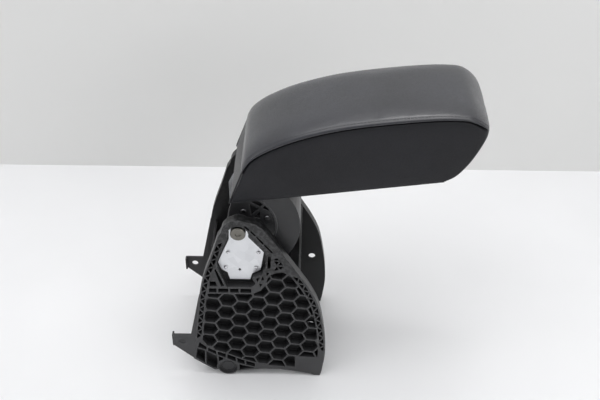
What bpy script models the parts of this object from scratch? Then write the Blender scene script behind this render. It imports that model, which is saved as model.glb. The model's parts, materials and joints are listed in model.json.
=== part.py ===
"""Car armrest: a padded lid that tilts on a friction hinge between two honeycomb-ribbed cheeks.

Metres, +Z up. +X points to the pad's nose, +Y to the armrest's left cheek.
The origin is under the middle of the whole armrest, on the surface that it stands on.
The base is drawn from its hinge pin, and the pad in axes of its own that lie along its underside.
Run it with: blender --background --python part.py
"""

import math

import bmesh
import bpy

MM = 0.001
GAP = 0.0003

# Base: two cheeks with pockets on their outer faces
BASE_WIDTH = 0.160
CHEEK_THICKNESS = 0.013
WEB = 0.0025
CHEEK_CHAMFER = 0.0012
RIM = 0.002
RIB = 0.002
HEX_PITCH = 0.022
HEX_TILT = math.radians(7.9)
HEX_CENTRE = (0.0007, 0.125)
TRUSS_BAND = 0.0056
TRUSS_RIB = 0.0016
TRUSS_PITCH = 0.014
REAR_TRUSS_HEIGHTS = (0.062, 0.240)
FRONT_TRUSS_HEIGHTS = (0.040, 0.190)
SHOULDER_BAND = 0.006
SHOULDER_PITCH = 0.0096
BOTTOM_SLOT_PITCH = 0.0126
BOTTOM_CELL_PITCH = 0.0155
PIVOT_HEIGHT = 0.246
PIVOT_BOSS_RADIUS = 0.0205
FOOT_BOSS_RADIUS = 0.0145
FOOT_BOSS_CENTRE = (-0.022, 0.0145)
FOOT_BOSS_WALL = 0.0021
FOOT_BOSS_RECESS = 0.003
FOOT_RING_RADIUS = 0.0092
FOOT_RING_DEPTH = 0.0006
WINDOW_SILL_HEIGHT = 0.159
SHELF_BAND = 0.009
FLUSH_PATCH_CORNER = (0.070, 0.0355)

# Ears at the rear edge of the cheeks
EAR_TIP = -0.0915
EAR_TOP = 0.074
EAR_TIP_BOTTOM = 0.054
EAR_THICKNESS = 0.0025
EAR_LIP = 0.002
EAR_LIP_DEPTH = 0.007
EAR_SET_BACK = 0.0008
EAR_OVERLAP = 0.0012
EAR_SHOULDER = 0.0065
EAR_HOLE = (-0.0805, 0.0625)
EAR_HOLE_RADIUS = 0.0045

# Fixing holes through the webs of the cheeks
FRONT_HOLE = (0.0888, 0.0875)
MIDDLE_HOLE = (0.0172, 0.1135)
WEB_HOLE_RADIUS = 0.0048

# Cross members between the cheeks
WALL = 0.0028
TUBE_RADIUS = 0.0102
TUBE_WALL = 0.0018

# Hinge stack, from the outer face inwards
HINGE_PLATE_DEPTH = 0.008
HINGE_PLATE_THICKNESS = 0.0022
BACKING_PLATE_THICKNESS = 0.0018
FRICTION_WASHER_THICKNESS = 0.0012
WAVE_WASHER_THICKNESS = 0.0009
PIN_RADIUS = 0.005
PIN_HEAD_RADIUS = 0.0094
PIN_HEAD_DIMPLE = 0.0034
PIN_COLLAR = 0.0028
BACKING_MARGIN = 0.006
BACKING_TOP_RADIUS = 0.013
RIVET_RADIUS = 0.0016
RIVET_HEAD_RADIUS = 0.0027
RIVET_HEAD_HEIGHT = 0.0014

# Pad, in its own axes: u along the underside from the pin, w up from the pin
REST_TILT = math.radians(7.9)
PAD_CLEARANCE = 0.005
PAD_UNDERSIDE = 0.034
PAD_REAR = -0.005
PAD_NOSE = 0.2995
PAD_CHAMFER_START = 0.252
CROWN = 0.0095
CROWN_RISE = 0.08
CROWN_FALL = 0.65
COVER_STEPS = 12
LEATHER = 0.0023
SIDE_PANEL = 0.0026
SEAM_GROOVE = 0.0009
TRAY = 0.003
REAR_PANEL = 0.003

# Drum under the pad, and the arms inside it
DRUM_RADIUS = 0.075
DRUM_OPENING_RADIUS = 0.0445
DRUM_WALL = 0.0025
DRUM_END_ANGLE = math.radians(-118)
DRUM_OVERCUT_ANGLE = 0.2
DRUM_OVERCUT = 0.006
DRUM_BEAD_WIDTH = 0.0022
DRUM_BEAD_HEIGHT = 0.0007
BEAD_END_ANGLE = 0.09
ARM_CLEARANCE = 0.0013
ARM_THICKNESS = 0.0075
ARM_WEB = 0.0025
ARM_HUB_RADIUS = 0.0145
ARM_SCREWS = ((0.0087, 0.0182), (0.0359, 0.0045))
SCREW_RADIUS = 0.002
SCREW_HEAD_RADIUS = 0.0036
SCREW_HEAD_HEIGHT = 0.0022
FLANGE_THICKNESS = 0.003

CHEEK_OUTER = BASE_WIDTH / 2
CHEEK_INNER = CHEEK_OUTER - CHEEK_THICKNESS
POCKET_FLOOR = CHEEK_INNER + WEB
SHELF_HEIGHT = WINDOW_SILL_HEIGHT - SHELF_BAND
FOOT_FLOOR = CHEEK_OUTER - FOOT_BOSS_RECESS
PAD_HALF = CHEEK_INNER - PAD_CLEARANCE
DRUM_HALF = PAD_HALF - 0.001
ARM_OUTER = DRUM_HALF - DRUM_WALL - ARM_CLEARANCE
SIDES = (("right", -1), ("left", 1))


def mm(*pairs):
    """Points written in millimetres."""
    return [(a * MM, b * MM) for a, b in pairs]


# Outlines of the cheek, seen from the right: from the hinge pin in x, from the ground in z
REAR_EDGE = mm((-67.6, 29), (-62, 75), (-56.5, 118), (-53, 145), (-46, 176.5), (-34.5, 210.5), (-25.5, 239))
FRONT_EDGE = mm((104, 9), (108, 40), (107.5, 68), (104, 100), (98, 131), (87.5, 156.5), (75, 179), (56, 211))
SHOULDER = mm((44, 232), (33, 250.5), (22, 261))
BOTTOM_EDGE = mm((-49, 14.5), (-41, 8))
BOTTOM_FRONT = mm((2, 8), (23, 11), (48, 10.6), (71, 6.6), (88, 3), (94, 0), (102, 0))
UPPER_RIB = mm((-57, 62), (-47, 52), (-38, 46.5), (-19.6, 39), (-1, 29.5), (17, 22.5), (33, 18.5), (48, 16.8),
               (70.5, 13))
LOWER_RIB = mm((-61, 51), (-50, 46), (-40.6, 39.5), (-27.6, 33), (-14.5, 25.5), (-5, 20.5), (14, 14.6))
ARCH_RIB = mm((14.5, 151), (24.6, 156.2), (31.8, 167.6), (33.2, 175), (37.5, 182), (44, 186), (54, 187.5), (60, 184))
PLATE_EDGE = mm((30.2, 215.2), (30.1, 210.7), (25.5, 183), (14.8, 177), (12.2, 167.3), (-13.4, 167.3), (-16, 178.7),
                (-23.1, 183.3), (-27.4, 194.8), (-12.1, 232.5))
WINDOW_EDGE = mm((33.2, 216), (32.4, 194), (27.5, 182), (16.2, 176.2), (15.6, 174.5), (19.5, 166.5), (13, 160.5),
                 (-17, 160.5), (-28.2, 193.5), (-28.2, 200), (-14, 236))
PLATE_TOP_RADIUS = 0.0118
WINDOW_TOP_RADIUS = 0.0127
RIVETS = mm((-13.6, 211.7), (23.6, 211.7), (-17.7, 187.5), (19.9, 187.5))
PLATE_HOLE = (-0.0004, 0.1835)
SLOT = mm((35.6, 213), (39.3, 211.5), (38.6, 193), (34.4, 191.4))
SLOT_ROW = mm((7.5, 259.5), (15, 252), (22, 243.5), (31, 231), (42, 217))
SLOT_ROW_WIDTH = 0.0024
WINDOW_CORNER_CELLS = (
    mm((-38.5, 169.7), (-31, 169.9), (-28.8, 161.6), (-38.8, 161.6)),
    mm((-31.5, 189.5), (-29.4, 190.2), (-20, 162.6), (-24.6, 161.6)),
    mm((19.8, 175.3), (24.8, 177.8), (21.8, 169.5)),
    mm((28.8, 179.8), (30.4, 173), (25.8, 172.3)),
    mm((23.6, 167), (28.2, 167), (24.8, 161.2)),
    mm((33, 186), (37, 185), (33.6, 180)),
)
FRONT_WALL_LINE = mm((74, 178), (62, 151), (60, 20))
REAR_WALL_LINE = mm((-44, 150), (-47, 122), (-55, 42))

# The seam between the pad's leather top and its side panels
SEAM = mm((16.3, 77.3), (29.6, 93), (54.9, 105), (91, 115), (137, 121.6), (190, 123), (240, 121.8), (275, 117.8))
# How it goes on round the nose and down the chamfer, in u from the nose
NOSE_TURN = mm((-7.5, 110.5), (-1, 101), (0, 92), (-4, 82), (-23, 57.2), (-36.5, 42.3))

# The tray's flanges, below its underside
FLANGE = mm((-2, 9), (20, 9), (30, -3), (42, -3), (44, 12))


# Flat geometry


def circle(centre, radius, count=16):
    return arc(centre, radius, 0, 2 * math.pi * (1 - 1 / count), count)


def arc(centre, radius, start, end, count):
    """Points on an arc, both ends included."""
    step = (end - start) / (count - 1)
    return [(centre[0] + radius * math.cos(start + i * step), centre[1] + radius * math.sin(start + i * step))
            for i in range(count)]


def smooth(points, parts=3):
    """A Catmull-Rom curve through the points."""
    ends = [points[0]] + list(points) + [points[-1]]
    curve = []
    for a, b, c, d in zip(ends, ends[1:], ends[2:], ends[3:]):
        for k in range(parts):
            t = k / parts
            curve.append(tuple(
                0.5 * (2 * b[i] + (c[i] - a[i]) * t + (2 * a[i] - 5 * b[i] + 4 * c[i] - d[i]) * t * t
                       + (3 * b[i] - a[i] - 3 * c[i] + d[i]) * t ** 3)
                for i in (0, 1)))
    return curve + [tuple(points[-1])]


def area(loop):
    return 0.5 * sum(a[0] * b[1] - b[0] * a[1] for a, b in zip(loop, loop[1:] + loop[:1]))


def unit(dx, dy):
    length = math.hypot(dx, dy) or 1.0
    return dx / length, dy / length


def line_offset(points, distance):
    """An open line moved to its left by the distance."""
    moved = []
    for i, p in enumerate(points):
        a = points[max(i - 1, 0)]
        b = points[min(i + 1, len(points) - 1)]
        dx, dy = unit(b[0] - a[0], b[1] - a[1])
        moved.append((p[0] - dy * distance, p[1] + dx * distance))
    return moved


def inset(loop, distance):
    """A closed loop moved inwards, its corners kept sharp."""
    if area(loop) < 0:
        loop = loop[::-1]
    moved = []
    for before, here, after in zip(loop[-1:] + loop[:-1], loop, loop[1:] + loop[:1]):
        ax, ay = unit(here[0] - before[0], here[1] - before[1])
        bx, by = unit(after[0] - here[0], after[1] - here[1])
        nx, ny = unit(-ay - by, ax + bx)
        reach = distance / max(nx * -ay + ny * ax, 0.35)
        moved.append((here[0] + nx * reach, here[1] + ny * reach))
    return moved


def walk(points, pitch):
    """Points and left-hand normals at equal steps along a line."""
    stations = []
    travelled = 0.0
    wanted = 0.0
    for a, b in zip(points, points[1:]):
        length = math.dist(a, b)
        dx, dy = unit(b[0] - a[0], b[1] - a[1])
        while wanted <= travelled + length:
            t = wanted - travelled
            stations.append(((a[0] + dx * t, a[1] + dy * t), (-dy, dx)))
            wanted += pitch
        travelled += length
    return stations


def clipped(region, convex):
    """The part of the region inside a convex loop that runs anticlockwise."""
    loop = list(region)
    for a, b in zip(convex, convex[1:] + convex[:1]):
        ex, ey = b[0] - a[0], b[1] - a[1]
        kept = []
        for p, q in zip(loop, loop[1:] + loop[:1]):
            side_p = ex * (p[1] - a[1]) - ey * (p[0] - a[0])
            side_q = ex * (q[1] - a[1]) - ey * (q[0] - a[0])
            if side_p >= 0:
                kept.append(p)
            if (side_p >= 0) != (side_q >= 0):
                t = side_p / (side_p - side_q)
                kept.append((p[0] + (q[0] - p[0]) * t, p[1] + (q[1] - p[1]) * t))
        loop = kept
        if len(loop) < 3:
            return []
    return loop


def tidy_loop(loop, nearest=0.0004):
    """The loop without points that nearly coincide."""
    kept = []
    for p in loop:
        if not kept or math.dist(kept[-1], p) > nearest:
            kept.append(p)
    while len(kept) > 2 and math.dist(kept[-1], kept[0]) <= nearest:
        kept.pop()
    return kept


def worth_cutting(loop, smallest=14e-6):
    """Leaves out slivers that a mould would not have."""
    if len(loop) < 3:
        return False
    around = sum(math.dist(a, b) for a, b in zip(loop, loop[1:] + loop[:1]))
    return abs(area(loop)) > smallest and abs(area(loop)) / around > 0.0007


# Solids


def collection(name):
    made = bpy.data.collections.new(name)
    bpy.context.scene.collection.children.link(made)
    return made


def material(name, colour, roughness, metallic=0.0):
    made = bpy.data.materials.new(name)
    made.use_nodes = True
    shader = made.node_tree.nodes["Principled BSDF"]
    shader.inputs["Base Color"].default_value = (*colour, 1.0)
    shader.inputs["Roughness"].default_value = roughness
    shader.inputs["Metallic"].default_value = metallic
    return made


def prism(loops, near, far):
    """A mesh of flat loops in the XZ plane, given depth along Y: outlines, and holes inside them."""
    curve = bpy.data.curves.new("outline", "CURVE")
    curve.dimensions = "2D"
    curve.fill_mode = "BOTH"
    curve.extrude = abs(far - near) / 2
    for loop in loops:
        spline = curve.splines.new("POLY")
        spline.points.add(len(loop) - 1)
        for point, (x, z) in zip(spline.points, loop):
            point.co = (x, z, 0.0, 1.0)
        spline.use_cyclic_u = True
    guide = bpy.data.objects.new("outline", curve)
    bpy.context.scene.collection.objects.link(guide)
    guide.rotation_euler = (math.pi / 2, 0.0, 0.0)
    guide.location = (0.0, (near + far) / 2, 0.0)
    bpy.context.view_layer.update()
    mesh = bpy.data.meshes.new_from_object(guide.evaluated_get(bpy.context.evaluated_depsgraph_get()))
    mesh.transform(guide.matrix_world)
    bpy.data.objects.remove(guide)
    work = bmesh.new()
    work.from_mesh(mesh)
    bmesh.ops.remove_doubles(work, verts=work.verts, dist=1e-6)
    bmesh.ops.recalc_face_normals(work, faces=work.faces)
    work.to_mesh(mesh)
    work.free()
    return mesh


def loft(rings):
    """A closed body through rings of equally many points, with a flat face over each end."""
    work = bmesh.new()
    rows = [[work.verts.new(point) for point in ring] for ring in rings]
    for row, following in zip(rows, rows[1:]):
        for i in range(len(row)):
            j = (i + 1) % len(row)
            work.faces.new((row[i], row[j], following[j], following[i]))
    work.faces.new(rows[0][::-1])
    work.faces.new(rows[-1])
    bmesh.ops.recalc_face_normals(work, faces=work.faces)
    mesh = bpy.data.meshes.new("loft")
    work.to_mesh(mesh)
    work.free()
    return mesh


def place(name, mesh, look, parent, smooth_angle=30):
    made = bpy.data.objects.new(name, mesh)
    PARTS.objects.link(made)
    made.parent = parent
    mesh.name = name
    mesh.materials.clear()
    mesh.materials.append(look)
    mesh.shade_smooth()
    mesh.set_sharp_from_angle(angle=math.radians(smooth_angle))
    return made


def turned(name, profile, centre, side, look, parent, count=20, ring=False):
    """A turned piece on an axis along Y: profile of (radius, distance from the mid-plane), outermost first."""
    mesh = bpy.data.meshes.new(name)
    points = [(radius, 0.0, distance) for radius, distance in profile]
    edges = [(i, i + 1) for i in range(len(points) - 1)]
    if ring:
        edges.append((len(points) - 1, 0))
    mesh.from_pydata(points, edges, [])
    made = bpy.data.objects.new(name, mesh)
    PARTS.objects.link(made)
    made.parent = parent
    made.location = (centre[0], 0.0, centre[1])
    made.rotation_euler = (-side * math.pi / 2, 0.0, 0.0)
    screw = made.modifiers.new("turn", "SCREW")
    screw.steps = count
    screw.render_steps = count
    screw.use_merge_vertices = True
    screw.merge_threshold = 0.00001
    mesh.materials.append(look)
    return made


def helper(name, mesh, parent):
    """A cutter, or a piece that is joined to another: never rendered by itself."""
    made = bpy.data.objects.new(name, mesh)
    CUTTERS.objects.link(made)
    made.parent = parent
    made.hide_render = True
    made.display_type = "WIRE"
    return made


def boolean(target, operation, name, mesh):
    modifier = target.modifiers.new(name, "BOOLEAN")
    modifier.operation = operation
    modifier.solver = "EXACT"
    modifier.object = helper(target.name + "_" + name, mesh, target.parent)


def cut(target, name, mesh):
    boolean(target, "DIFFERENCE", name, mesh)


def join(target, name, mesh):
    boolean(target, "UNION", name, mesh)


# Cheeks


def cheek_outline():
    foot = arc(FOOT_BOSS_CENTRE, FOOT_BOSS_RADIUS, math.radians(205), math.radians(325), 9)
    top = arc((0.0, PIVOT_HEIGHT), PIVOT_BOSS_RADIUS, math.radians(75), math.radians(175), 8)
    loop = BOTTOM_EDGE + foot + BOTTOM_FRONT + smooth(FRONT_EDGE + SHOULDER) + top + smooth(REAR_EDGE)[::-1]
    return tidy_loop(loop, CHEEK_CHAMFER / 2)


def cheek_body(side):
    """The solid cheek, with a chamfer all round its outer face."""
    outline = cheek_outline()
    rings = ((outline, CHEEK_INNER), (outline, CHEEK_OUTER - CHEEK_CHAMFER),
             (inset(outline, CHEEK_CHAMFER), CHEEK_OUTER))
    return loft([[(x, side * distance, z) for x, z in loop] for loop, distance in rings])


def lattice_point(column, row):
    """A point of the honeycomb's own axes, in hex pitches, which lean with the hex rows."""
    x = column * math.cos(HEX_TILT) + row * math.sin(HEX_TILT)
    z = row * math.cos(HEX_TILT) - column * math.sin(HEX_TILT)
    return HEX_CENTRE[0] + x * HEX_PITCH, HEX_CENTRE[1] + z * HEX_PITCH


def hexagon(column, row):
    """The open loop of one cell, less half a rib all round."""
    middle = lattice_point(column * math.sqrt(3) / 2, row + (column % 2) / 2)
    return arc(middle, (HEX_PITCH - RIB) / math.sqrt(3), -HEX_TILT, 5 * math.pi / 3 - HEX_TILT, 6)


def above(points, height):
    return [p for p in points if p[1] > height]


def below(points, height):
    return [p for p in points if p[1] < height]


def honeycomb_region():
    """The loop inside the truss bands, above the bottom rib and below the shelf and the arch."""
    band = RIM + TRUSS_BAND + RIB
    rear = line_offset(smooth(REAR_EDGE, 6), -band)
    front = line_offset(smooth(FRONT_EDGE, 6), band)
    floor = line_offset(UPPER_RIB, RIB / 2)
    ceiling = line_offset(ARCH_RIB, -RIB / 2)
    patch = [(FLUSH_PATCH_CORNER[0] - RIB, floor[-1][1]), (FLUSH_PATCH_CORNER[0] - RIB, FLUSH_PATCH_CORNER[1] + RIB)]
    rear_part = below(above(rear, UPPER_RIB[0][1] + RIB), SHELF_HEIGHT - RIB)
    front_part = below(above(front, FLUSH_PATCH_CORNER[1]), ARCH_RIB[-1][1])
    left_top = (rear_part[-1][0] + RIB, SHELF_HEIGHT - RIB / 2)
    right_top = (ARCH_RIB[0][0], SHELF_HEIGHT - RIB / 2)
    return floor[1:-1] + patch + front_part + ceiling[::-1][1:-1] + [right_top, left_top] + rear_part[::-1]


def honeycomb_cells():
    region = honeycomb_region()
    cells = []
    for column in range(-7, 9):
        for row in range(-8, 9):
            cell = tidy_loop(clipped(region, hexagon(column, row)))
            if worth_cutting(cell):
                cells.append(cell)
    return cells


def truss_cells(edge, inward):
    """Triangular cells in the band inside an edge: the ribs between them zigzag."""
    stations = walk(edge, TRUSS_PITCH / 2)
    outer = RIM - TRUSS_RIB / 2
    inner = RIM + TRUSS_BAND + TRUSS_RIB / 2
    reach = [outer if i % 2 == 0 else inner for i in range(len(stations))]
    points = [(p[0] + n[0] * inward * r, p[1] + n[1] * inward * r) for (p, n), r in zip(stations, reach)]
    cells = []
    for a, b, c in zip(points, points[1:], points[2:]):
        cell = inset([a, b, c], TRUSS_RIB / 2)
        if worth_cutting(cell, 6e-6):
            cells.append(cell)
    return cells


def columns(region, start, pitch, count, lean):
    """The region cut into columns with a rib between them: their sides lean to and fro."""
    cells = []
    for i in range(count):
        left = start + i * pitch + RIB / 2
        right = start + (i + 1) * pitch - RIB / 2
        tilt = lean if i % 2 else -lean
        slab = [(left - tilt, 0.0), (right + tilt, 0.0), (right - tilt, 0.08), (left + tilt, 0.08)]
        cell = tidy_loop(clipped(region, slab))
        if worth_cutting(cell):
            cells.append(cell)
    return cells


def bottom_slots():
    """The short slots between the two ribs that run along the bottom."""
    region = line_offset(LOWER_RIB, RIB / 2) + line_offset(UPPER_RIB[:6], -RIB / 2)[::-1]
    return columns(region, LOWER_RIB[0][0], BOTTOM_SLOT_PITCH, 6, 0.001)


def bottom_cells():
    """The cells between the lower rib and the edge, on either side of the foot boss."""
    reach = FOOT_BOSS_RADIUS + RIB / 2
    rib = line_offset(LOWER_RIB, -RIB / 2)
    behind = mm((-64.5, 32), (-50, 19), (-42, 13)) + arc(FOOT_BOSS_CENTRE, reach, math.radians(190),
                                                         math.radians(115), 5)
    ahead = arc(FOOT_BOSS_CENTRE, reach, math.radians(18), math.radians(-22), 4) + mm((1, 11), (12, 12.3))
    cells = columns(behind + rib[3::-1], -0.0665, BOTTOM_CELL_PITCH, 3, 0.002)
    ahead_cell = tidy_loop(ahead + [rib[6], rib[5]])
    return cells + [ahead_cell]


def shoulder_cells():
    """Small triangles between the slot and the smooth band inside the front edge."""
    floor = max(z for x, z in ARCH_RIB) + RIB / 2
    ceiling = SLOT[0][1] - RIB
    left = SLOT[1][0] + RIB
    front = line_offset(smooth(FRONT_EDGE + SHOULDER, 6), SHOULDER_BAND)
    region = below(above(front, floor), ceiling) + [(left, ceiling), (left, floor)]
    size = SHOULDER_PITCH
    cells = []
    for row in range(3):
        for column in range(-1, 4):
            x = left + (column + 0.5 * (row % 2)) * size
            z = floor + row * size * math.sqrt(3) / 2
            high = z + size * math.sqrt(3) / 2
            for triangle in ([(x, z), (x + size, z), (x + size / 2, high)],
                             [(x + size, z), (x + size * 1.5, high), (x + size / 2, high)]):
                cell = tidy_loop(clipped(region, inset(triangle, TRUSS_RIB / 2)))
                if worth_cutting(cell, 6e-6):
                    cells.append(cell)
    return cells


def shelf_cells():
    """The flat cells between the shelf rib and the window sill."""
    low = SHELF_HEIGHT + RIB / 2
    high = WINDOW_SILL_HEIGHT - RIB / 2
    ends = mm((-40, -30.5), (-28.5, -15.5), (-13.5, -2.5), (-0.5, 13.5))
    return [[(a, low), (b, low), (b, high), (a, high)] for a, b in ends]


def slot_row():
    """The row of slots over the window, each from one rib to the next."""
    cells = []
    for a, b in zip(SLOT_ROW, SLOT_ROW[1:]):
        dx, dy = unit(b[0] - a[0], b[1] - a[1])
        start = (a[0] + dx * RIB / 2, a[1] + dy * RIB / 2)
        end = (b[0] - dx * RIB / 2, b[1] - dy * RIB / 2)
        cells.append(sheet_outline([start, end], SLOT_ROW_WIDTH))
    return cells


def plate_outline(edge, top_radius):
    """The window's outline, or the plate's: its straight edges and a round top about the pin."""
    return list(edge) + arc((0.0, PIVOT_HEIGHT), top_radius, math.radians(190), math.radians(-15), 11)


def ear_outline():
    edge = REAR_EDGE
    inside = EAR_OVERLAP
    return [(edge[0][0] + inside, edge[0][1] + inside), (edge[1][0] + inside, edge[1][1]),
            (edge[3][0] + inside, edge[3][1]), (edge[3][0] - inside / 3, edge[3][1]),
            (edge[1][0] - EAR_SHOULDER, EAR_TOP), (EAR_TIP, EAR_TOP), (EAR_TIP, EAR_TIP_BOTTOM)]


def cheek(name, side, look):
    body = place(name, cheek_body(side), look, BASE)
    rear = smooth(REAR_EDGE, 6)
    front = smooth(FRONT_EDGE + SHOULDER, 6)
    pockets = {
        "window": [plate_outline(WINDOW_EDGE, WINDOW_TOP_RADIUS)],
        "honeycomb": honeycomb_cells(),
        "shelf_cells": shelf_cells(),
        "window_corners": [SLOT] + slot_row() + list(WINDOW_CORNER_CELLS),
        "bottom_slots": bottom_slots(),
        "bottom_cells": bottom_cells(),
        "shoulder_cells": shoulder_cells(),
        "rear_truss": truss_cells(below(above(rear, REAR_TRUSS_HEIGHTS[0]), REAR_TRUSS_HEIGHTS[1]), -1),
        "front_truss": truss_cells(below(above(front, FRONT_TRUSS_HEIGHTS[0]), FRONT_TRUSS_HEIGHTS[1]), 1),
    }
    outside = side * (CHEEK_OUTER + 0.001)
    for pocket_name, cells in pockets.items():
        cut(body, pocket_name, prism(cells, side * POCKET_FLOOR, outside))
    recess = circle(FOOT_BOSS_CENTRE, FOOT_BOSS_RADIUS - FOOT_BOSS_WALL, 24)
    cut(body, "foot_recess", prism([recess], side * FOOT_FLOOR, outside))
    ring = [circle(FOOT_BOSS_CENTRE, FOOT_RING_RADIUS, 24), circle(FOOT_BOSS_CENTRE, FOOT_RING_RADIUS - 0.001, 24)]
    cut(body, "foot_ring", prism(ring, side * (FOOT_FLOOR - FOOT_RING_DEPTH), side * (FOOT_FLOOR + 0.001)))
    ear_outer = CHEEK_OUTER - EAR_SET_BACK
    ear_inner = ear_outer - EAR_THICKNESS
    join(body, "ear", prism([ear_outline()], side * ear_inner, side * ear_outer))
    lip = [(EAR_TIP - EAR_LIP, EAR_TIP_BOTTOM + 0.0005), (EAR_TIP + 0.0003, EAR_TIP_BOTTOM + 0.0005),
           (EAR_TIP + 0.0003, EAR_TOP - 0.0005), (EAR_TIP - EAR_LIP, EAR_TOP - 0.0005)]
    join(body, "ear_lip", prism([lip], side * (ear_outer - EAR_LIP_DEPTH), side * (ear_outer + 0.0004)))
    holes = [circle(centre, RIVET_RADIUS + GAP, 8) for centre in RIVETS]
    holes.append(circle((0.0, PIVOT_HEIGHT), PIN_RADIUS + GAP))
    holes += [circle(FRONT_HOLE, WEB_HOLE_RADIUS), circle(MIDDLE_HOLE, WEB_HOLE_RADIUS)]
    cut(body, "web_holes", prism(holes, side * (CHEEK_INNER - 0.001), side * (POCKET_FLOOR + 0.0006)))
    cut(body, "ear_hole", prism([circle(EAR_HOLE, EAR_HOLE_RADIUS)], side * (CHEEK_INNER - 0.001), outside))
    socket = circle(FOOT_BOSS_CENTRE, TUBE_RADIUS + GAP)
    cut(body, "tube_socket", prism([socket], side * (CHEEK_INNER - 0.001), side * (FOOT_FLOOR - WEB)))


# Cross members


def sheet_outline(line, thickness):
    return line_offset(line, thickness / 2) + line_offset(line, -thickness / 2)[::-1]


def cross_members(look, tube_look):
    reach = CHEEK_INNER - GAP
    place("front_cross_wall", prism([sheet_outline(FRONT_WALL_LINE, WALL)], -reach, reach), look, BASE)
    place("rear_cross_wall", prism([sheet_outline(REAR_WALL_LINE, WALL)], -reach, reach), look, BASE)
    end = FOOT_FLOOR - WEB - GAP
    inner = TUBE_RADIUS - TUBE_WALL
    profile = [(inner, end), (TUBE_RADIUS, end), (TUBE_RADIUS, -end), (inner, -end)]
    turned("foot_cross_tube", profile, FOOT_BOSS_CENTRE, 1, tube_look, BASE, 20, ring=True)


# Hinge


def hinge_plate(name, side, look):
    outer = CHEEK_OUTER - HINGE_PLATE_DEPTH
    pin_hole = circle((0.0, PIVOT_HEIGHT), PIN_RADIUS + GAP)
    holes = [circle(centre, RIVET_RADIUS + GAP, 8) for centre in RIVETS]
    loops = [plate_outline(PLATE_EDGE, PLATE_TOP_RADIUS), pin_hole, circle(PLATE_HOLE, 0.0017, 12)] + holes
    place(name, prism(loops, side * (outer - HINGE_PLATE_THICKNESS), side * outer), look, BASE)


def backing_plate(name, side, look):
    """A plain strip on the inner face that spreads the rivets' pull."""
    outer = CHEEK_INNER - GAP
    left = min(x for x, z in RIVETS) - BACKING_MARGIN
    right = max(x for x, z in RIVETS) + BACKING_MARGIN
    bottom = min(z for x, z in RIVETS) - BACKING_MARGIN
    waist = max(z for x, z in RIVETS) + BACKING_MARGIN
    top = arc((0.0, PIVOT_HEIGHT), BACKING_TOP_RADIUS, math.radians(-20), math.radians(200), 12)
    outline = [(left, bottom), (right, bottom), (right, waist)] + top + [(left, waist)]
    holes = [circle(centre, RIVET_RADIUS + GAP, 8) for centre in RIVETS]
    holes.append(circle((0.0, PIVOT_HEIGHT), PIN_RADIUS + GAP))
    place(name, prism([outline] + holes, side * (outer - BACKING_PLATE_THICKNESS), side * outer), look, BASE)


def rivet_profile():
    """Domed outer head, shank through plate, web and backing plate, closed head inside."""
    seat = CHEEK_OUTER - HINGE_PLATE_DEPTH + GAP
    back = CHEEK_INNER - GAP - BACKING_PLATE_THICKNESS - GAP
    head = RIVET_HEAD_RADIUS
    tall = RIVET_HEAD_HEIGHT
    dome = [(head * math.sin(a), seat + tall * math.cos(a)) for a in (0.0, 0.55, 1.05, math.pi / 2)]
    shank = [(RIVET_RADIUS, seat), (RIVET_RADIUS, back)]
    closed = [(head * 0.9, back), (head * 0.7, back - tall * 0.6), (0.0, back - tall * 0.6)]
    return [(abs(r), d) for r, d in dome] + shank + closed


def pin_profile():
    """Head with a centre dimple on the hinge plate, shank inwards, and a riveted collar behind the arm."""
    seat = CHEEK_OUTER - HINGE_PLATE_DEPTH + GAP
    face = CHEEK_OUTER + 0.0002
    edge = 0.0008
    collar = ARM_OUTER - ARM_THICKNESS - 2 * GAP - WAVE_WASHER_THICKNESS
    return [(0.0, face - 0.0012), (PIN_HEAD_DIMPLE - 0.0006, face - 0.0012), (PIN_HEAD_DIMPLE, face),
            (PIN_HEAD_RADIUS - edge, face), (PIN_HEAD_RADIUS, face - edge), (PIN_HEAD_RADIUS, seat),
            (PIN_RADIUS, seat), (PIN_RADIUS, collar), (PIN_RADIUS + 0.003, collar),
            (PIN_RADIUS + 0.003, collar - PIN_COLLAR + edge), (PIN_RADIUS + 0.002, collar - PIN_COLLAR),
            (0.0, collar - PIN_COLLAR)]


def washer(name, side, inner_radius, outer_radius, outermost, thickness, centre, look, parent):
    innermost = outermost - thickness
    profile = [(inner_radius, outermost), (outer_radius, outermost), (outer_radius, innermost),
               (inner_radius, innermost)]
    turned(name, profile, centre, side, look, parent, 20, ring=True)


def hinge(side_name, side, looks):
    hinge_plate(side_name + "_hinge_plate", side, looks["zinc"])
    backing_plate(side_name + "_backing_plate", side, looks["zinc"])
    for number, centre in enumerate(RIVETS, 1):
        turned(f"{side_name}_rivet_{number}", rivet_profile(), centre, side, looks["rivet"], BASE, 8)
    pivot = (0.0, PIVOT_HEIGHT)
    turned(side_name + "_pivot_pin", pin_profile(), pivot, side, looks["pin"], BASE, 20)
    washer(side_name + "_friction_washer", side, PIN_RADIUS + GAP, ARM_HUB_RADIUS - 0.001, hub_face() + GAP
           + FRICTION_WASHER_THICKNESS, FRICTION_WASHER_THICKNESS, pivot, looks["washer"], BASE)
    washer(side_name + "_wave_washer", side, PIN_RADIUS + GAP, PIN_RADIUS + 0.003, ARM_OUTER - ARM_THICKNESS - GAP,
           WAVE_WASHER_THICKNESS, pivot, looks["zinc"], BASE)


def hub_face():
    """How far from the mid-plane the arm's hub reaches: to the friction washer on the backing plate."""
    return CHEEK_INNER - GAP - BACKING_PLATE_THICKNESS - GAP - FRICTION_WASHER_THICKNESS - GAP


# Pad: everything below is drawn in the pad's own axes, from the pin


def seam_line():
    """The edge of the leather top: up the rear, over the side panel, round the nose and down the chamfer."""
    nose = [(PAD_NOSE + u, w) for u, w in NOSE_TURN]
    return smooth(SEAM + nose + [(PAD_CHAMFER_START + 0.002, PAD_UNDERSIDE + 0.0016)], 3)


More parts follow.
